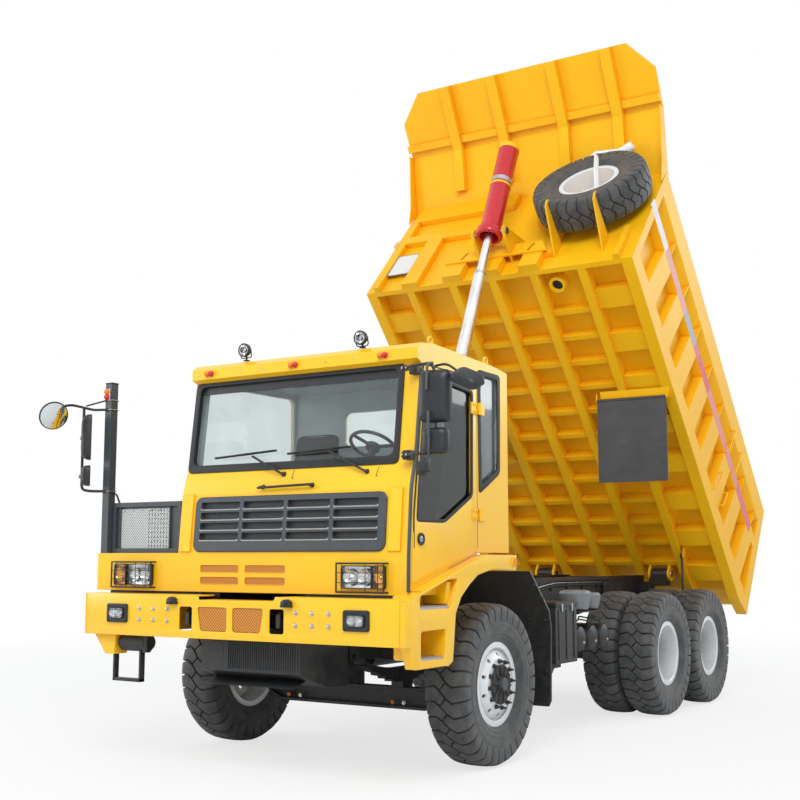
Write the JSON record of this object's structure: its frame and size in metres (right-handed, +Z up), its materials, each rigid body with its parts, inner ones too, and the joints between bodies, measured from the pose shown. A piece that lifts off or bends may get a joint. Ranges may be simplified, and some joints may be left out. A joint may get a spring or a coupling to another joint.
{
  "type": "mining dump truck",
  "caption": "Wide-body off-road dump truck with offset cab, raised steel bed on a telescopic hoist, spare wheel and twin rear tyres; doors, steering, wheels and bed move.",
  "frame": {"origin": "centre of the truck's outline on the ground", "axes": "+Z up, the truck faces -Y, its left side is +X"},
  "size_m": [4.3886, 9.2964, 7.7573],
  "materials": {
    "yellow_paint": "semi-gloss yellow enamel",
    "bed_paint": "semi-gloss yellow enamel",
    "under_paint": "orange yellow enamel",
    "chassis_black": "satin black enamel",
    "grey_paint": "satin grey enamel",
    "silver_paint": "silver enamel",
    "hoist_red": "gloss red enamel",
    "rod_chrome": "polished hard chrome",
    "cast_dark": "as cast, painted dark",
    "tyre_rubber": "dusty black rubber",
    "flap_rubber": "matt black rubber",
    "cab_glass": "clear tinted glass",
    "lamp_lens": "clear moulded lens",
    "black_plastic": "moulded grey-black plastic",
    "seat_cloth": "dark woven cloth"
  },
  "bodies": {
    "chassis": {"frame_rails": "chassis_black", "engine": "cast_dark", "front_axle": "chassis_black", "front_springs": "chassis_black", "rear_axles": "chassis_black", "bogie": "chassis_black", "bumper": "yellow_paint", "cab_shell": "yellow_paint", "cab_glass": "cab_glass", "deck_box": "yellow_paint", "deck_cage": "grey_paint", "mirror_post": "chassis_black", "step_housing": "yellow_paint", "mudguards": "chassis_black", "frame_brackets": "chassis_black", "air_tanks": "chassis_black", "reservoir": "grey_paint", "battery_box": "chassis_black", "fuel_tank": "chassis_black", "grille": "black_plastic", "headlights": "lamp_lens", "right_mirrors": "black_plastic", "left_mirrors": "black_plastic", "front_guards": "chassis_black", "roof_lamps": "black_plastic", "seats": "seat_cloth", "dash_panel": "black_plastic"},
    "knuckle_left": {"knuckle_left": "chassis_black"},
    "knuckle_right": {"knuckle_right": "chassis_black"},
    "door": {"door": "yellow_paint", "door_glass": "cab_glass"},
    "bed": {"bed_floor": "bed_paint", "bed_frame": "under_paint", "side_wall_left": "bed_paint", "side_wall_right": "bed_paint", "front_wall": "bed_paint", "canopy": "bed_paint", "spare_tyre": "tyre_rubber", "spare_rim": "silver_paint", "spare_carrier": "bed_paint"},
    "mud_flaps": {"mud_flaps": "flap_rubber"},
    "stone_ejectors": {"stone_ejectors": "chassis_black"},
    "hoist_upper": {"hoist_cover": "hoist_red", "hoist_rod": "rod_chrome"},
    "hoist_stage_2": {"hoist_stage_2": "rod_chrome"},
    "hoist_stage_3": {"hoist_stage_3": "rod_chrome"},
    "hoist_barrel": {"hoist_barrel": "hoist_red"},
    "wheel_front_left": {"tyre_front_left": "tyre_rubber", "rim_front_left": "silver_paint"},
    "wheel_front_right": {"tyre_front_right": "tyre_rubber", "rim_front_right": "silver_paint"},
    "wheel_rear_1_left": {"tyre_rear_1_left": "tyre_rubber", "rim_rear_1_left": "silver_paint"},
    "wheel_rear_1_right": {"tyre_rear_1_right": "tyre_rubber", "rim_rear_1_right": "silver_paint"},
    "wheel_rear_2_left": {"tyre_rear_2_left": "tyre_rubber", "rim_rear_2_left": "silver_paint"},
    "wheel_rear_2_right": {"tyre_rear_2_right": "tyre_rubber", "rim_rear_2_right": "silver_paint"}
  },
  "joints": [
    {"name": "bed_lift", "type": "hinge", "parent": "chassis", "child": "bed", "pos_m": [0, 3.093, 1.547], "axis": [1, 0, 0], "range_deg": [0, 48.3]},
    {"name": "mud_flap_swing", "type": "hinge", "parent": "bed", "child": "mud_flaps", "pos_m": [0, 1.18556, 3.59767], "axis": [1, 0, 0], "range_deg": [-50, 2]},
    {"name": "ejector_swing", "type": "hinge", "parent": "bed", "child": "stone_ejectors", "pos_m": [0, 2.85854, 1.78009], "axis": [1, 0, 0], "range_deg": [-50, 2]},
    {"name": "hoist_tilt", "type": "hinge", "parent": "bed", "child": "hoist_upper", "pos_m": [0, 0.02736, 5.4989], "axis": [1, 0, 0], "range_deg": [-30, 2]},
    {"name": "hoist_slide_1", "type": "slide", "parent": "hoist_upper", "child": "hoist_stage_2", "axis": [0, 0.4059, 0.9139], "range_m": [-0.01, 1.36]},
    {"name": "hoist_slide_2", "type": "slide", "parent": "hoist_stage_2", "child": "hoist_stage_3", "axis": [0, 0.4059, 0.9139], "range_m": [-0.01, 1.36]},
    {"name": "hoist_slide_3", "type": "slide", "parent": "hoist_stage_3", "child": "hoist_barrel", "axis": [0, 0.4059, 0.9139], "range_m": [-0.01, 1.36]},
    {"name": "door_swing", "type": "hinge", "parent": "chassis", "child": "door", "pos_m": [1.545, -3.06, 2.56], "axis": [0, 0, 1], "range_deg": [0, 75]},
    {"name": "steer_left", "type": "hinge", "parent": "chassis", "child": "knuckle_left", "pos_m": [1.085, -2.695, 0.685], "axis": [0, 0, 1], "range_deg": [-35, 35]},
    {"name": "steer_right", "type": "hinge", "parent": "chassis", "child": "knuckle_right", "pos_m": [-1.085, -2.695, 0.685], "axis": [0, 0, 1], "range_deg": [-36, 36]},
    {"name": "spin_front_left", "type": "hinge", "parent": "knuckle_left", "child": "wheel_front_left", "pos_m": [1.3485, -2.695, 0.685], "axis": [1, 0, 0], "continuous": true},
    {"name": "spin_front_right", "type": "hinge", "parent": "knuckle_right", "child": "wheel_front_right", "pos_m": [-1.3485, -2.695, 0.685], "axis": [1, 0, 0], "continuous": true},
    {"name": "spin_rear_1_left", "type": "hinge", "parent": "chassis", "child": "wheel_rear_1_left", "pos_m": [1.185, 1.305, 0.685], "axis": [1, 0, 0], "continuous": true},
    {"name": "spin_rear_1_right", "type": "hinge", "parent": "chassis", "child": "wheel_rear_1_right", "pos_m": [-1.185, 1.305, 0.685], "axis": [1, 0, 0], "continuous": true},
    {"name": "spin_rear_2_left", "type": "hinge", "parent": "chassis", "child": "wheel_rear_2_left", "pos_m": [1.185, 2.73, 0.685], "axis": [1, 0, 0], "continuous": true},
    {"name": "spin_rear_2_right", "type": "hinge", "parent": "chassis", "child": "wheel_rear_2_right", "pos_m": [-1.185, 2.73, 0.685], "axis": [1, 0, 0], "continuous": true}
  ],
  "couplings": [
    {"joint": "mud_flap_swing", "follows": "bed_lift", "ratio": -1},
    {"joint": "ejector_swing", "follows": "bed_lift", "ratio": -1},
    {"joint": "hoist_tilt", "follows": "bed_lift", "ratio": -0.56006},
    {"joint": "hoist_slide_1", "follows": "bed_lift", "m_per_rad": 1.5924},
    {"joint": "hoist_slide_2", "follows": "bed_lift", "m_per_rad": 1.5924},
    {"joint": "hoist_slide_3", "follows": "bed_lift", "m_per_rad": 1.5924},
    {"joint": "steer_right", "follows": "steer_left", "ratio": 1}
  ]
}
